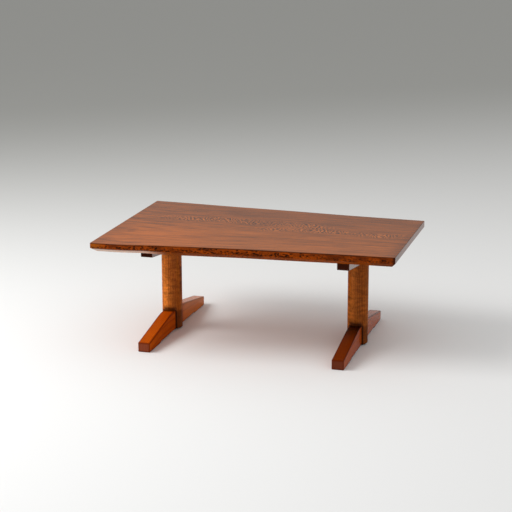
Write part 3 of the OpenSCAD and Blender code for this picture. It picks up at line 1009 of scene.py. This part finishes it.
SLAB_WOOD = slab_material()
FRAME_WOODS = {
    "left": frame_woods(
        middle=-LEG_X, tone=1.0, shaded_side=0.003, cheek_shade=0.6, foot_tone=1.0, end_tone=1.0,
        foot_coat=(0.15, 0.9, 0.5), foot_stains_and_shade=(
            (0.32, colour(214, 132, 48), {"Y": (0.02, 0.07) + OPEN_ABOVE}),
            # Painted shade on the foot's top where it meets its column
            (0.7, JOINT_SHADE, {"Y": (-0.052, -0.040, 0.0, 0.01), "Up": UPWARDS}),
        ),
    ),
    # The right frame's darker tones are partly its wood's own colour and partly painted shade from the slab
    "right": frame_woods(
        middle=LEG_X, tone=0.84, shaded_side=-0.010, cheek_shade=0.5, foot_tone=0.84, end_tone=0.6,
        foot_coat=(0.5, 0.75, 1.0), foot_stains_and_shade=(
            # Painted shade of the slab over the front of the foot's top, then painted shade where the foot
            # meets its column
            (0.66, colour(60, 12, 1), {"Y": OPEN_BELOW + (0.0, 0.04), "Up": UPWARDS}),
            (0.85, JOINT_SHADE, {"Y": (-0.15, -0.045, 0.0, 0.01), "Up": UPWARDS}),
        ),
    ),
}
BATTEN_WOOD = wood_material("batten_wood", GRAIN_Y, (0, 0.07, -0.2), (1.0, 1.0, 1.0), dict(
    body=colour(120, 68, 44), bright=colour(142, 84, 56), dark=colour(62, 30, 18), streaks=0.5,
    spacing=0.004, sway=0.015, curl=0.001, line_strength=0.4, pore_amount=0.5, figure_length=0.012,
    figure_strength=0.25, end_grain=colour(50, 20, 11),
), coat_ior=BATTEN_COAT_IOR)
STEEL = metal_material("zinc_plated_steel", colour(196, 198, 202), rough=0.34, scale=220)
BRASS = metal_material("turned_brass", colour(204, 168, 92), rough=0.3, scale=260)


# The pieces
finish_piece(make_slab(), "tabletop", SLAB_WOOD)
for side in ("left", "right"):
    finish_piece(make_column(side), "column_" + side, FRAME_WOODS[side]["column"])
    finish_piece(make_foot(side), "foot_" + side, FRAME_WOODS[side]["foot"])
    finish_piece(make_batten(side), "batten_" + side, BATTEN_WOOD)
for name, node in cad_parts.items():
    if any(kind in name for kind in ("bolt", "washer", "screw", "insert")):
        for holder in node.material_slots:
            holder.material = BRASS if "insert" in name else STEEL


# The floor, the light and the camera

FLOOR_REACH = 40.0
FLOOR_DROP = 0.0002
# The floor's colour near the table, and the painted shade of the light falling off far behind it
FLOOR_NEAR = colour(226, 226, 225)
FLOOR_FAR = colour(160, 160, 156)
FLOOR_FADE = {"angle": math.radians(35), "start": -0.49, "end": 4.69}
BACKDROP_BEHIND = (0.33, 0.33, 0.32, 1.0)
BACKDROP_IN_FRONT = (0.20, 0.20, 0.20, 1.0)
FILL_COLOUR = (0.765, 0.765, 0.765, 1.0)
KEY = {"towards": Vector((-0.70, -0.30, 0.65)), "distance": 3.8, "size": 2.0, "power": 104.0}
CAMERA = {
    "place": (1.2264, -4.2716, 1.4266), "turn": math.radians(16.3236), "tilt": math.radians(90 - 14.8459),
    "roll": math.radians(-0.1553), "lens": 106.864, "sensor": 36.0,
}


def make_floor():
    """A plain pale floor that is seen only from above, with painted shade that darkens it far behind the
    table on the left.
    """
    bm = bmesh.new()
    bmesh.ops.create_grid(bm, x_segments=1, y_segments=1, size=FLOOR_REACH)
    bmesh.ops.translate(bm, vec=(0, 0, -FLOOR_DROP), verts=bm.verts)
    floor = new_mesh_object("floor", bm)
    material, tree, shader, output = new_material("studio_floor")
    turned = add(tree, "Mapping", {
        "Vector": add(tree, "TexCoord").outputs["Object"], "Rotation": (0, 0, -FLOOR_FADE["angle"]),
    }).outputs[0]
    shade_of_floor = smooth(tree, split(tree, turned)["Y"], FLOOR_FADE["start"], FLOOR_FADE["end"])
    tree.links.new(tint(tree, shade_of_floor, FLOOR_NEAR, FLOOR_FAR), shader.inputs["Base Color"])
    shader.inputs["Roughness"].default_value = 0.9
    shader.inputs["Specular IOR Level"].default_value = 0.2
    under = add(tree, "NewGeometry").outputs["Backfacing"]
    clear = add(tree, "BsdfTransparent").outputs[0]
    seen = add(tree, "MixShader", {0: under, 1: shader.outputs[0], 2: clear}).outputs[0]
    tree.links.new(seen, output.inputs["Surface"])
    floor.data.materials.append(material)


def make_world():
    """An even fill, and a plain backdrop for the camera and for gloss."""
    world = bpy.data.worlds.new("studio")
    world.use_nodes = True
    tree = world.node_tree
    tree.nodes.clear()
    path = add(tree, "LightPath").outputs
    direct = larger(tree, path["Is Camera Ray"], path["Is Glossy Ray"])
    direct = larger(tree, direct, path["Is Transmission Ray"])
    towards = split(tree, add(tree, "TexCoord").outputs["Generated"])
    backdrop = tint(tree, smooth(tree, towards["Y"], -0.5, 0.5), BACKDROP_IN_FRONT, BACKDROP_BEHIND)
    light = add(tree, "Background", {"Color": tint(tree, direct, FILL_COLOUR, backdrop), "Strength": 1.0})
    add(tree, "OutputWorld", {"Surface": light.outputs[0]})
    bpy.context.scene.world = world


def make_key():
    """A large soft box on the left, in front of the table."""
    data = bpy.data.lights.new("key", "AREA")
    data.shape = "SQUARE"
    data.size = KEY["size"]
    data.energy = KEY["power"]
    lamp = bpy.data.objects.new("key", data)
    lamp.location = KEY["towards"] * KEY["distance"]
    lamp.rotation_euler = KEY["towards"].to_track_quat("Z", "Y").to_euler()
    bpy.context.scene.collection.objects.link(lamp)


def make_camera():
    """The photograph's viewpoint: from the right in front, a little above the slab."""
    data = bpy.data.cameras.new("camera")
    data.sensor_width = CAMERA["sensor"]
    data.lens = CAMERA["lens"]
    camera = bpy.data.objects.new("camera", data)
    turn = Matrix.Rotation(CAMERA["turn"], 4, "Z")
    tilt = Matrix.Rotation(CAMERA["tilt"], 4, "X")
    roll = Matrix.Rotation(CAMERA["roll"], 4, "Z")
    camera.matrix_world = Matrix.Translation(CAMERA["place"]) @ turn @ tilt @ roll
    bpy.context.scene.collection.objects.link(camera)
    bpy.context.scene.camera = camera


make_floor()
make_world()
make_key()
make_camera()
bpy.context.scene.view_settings.view_transform = "Standard"
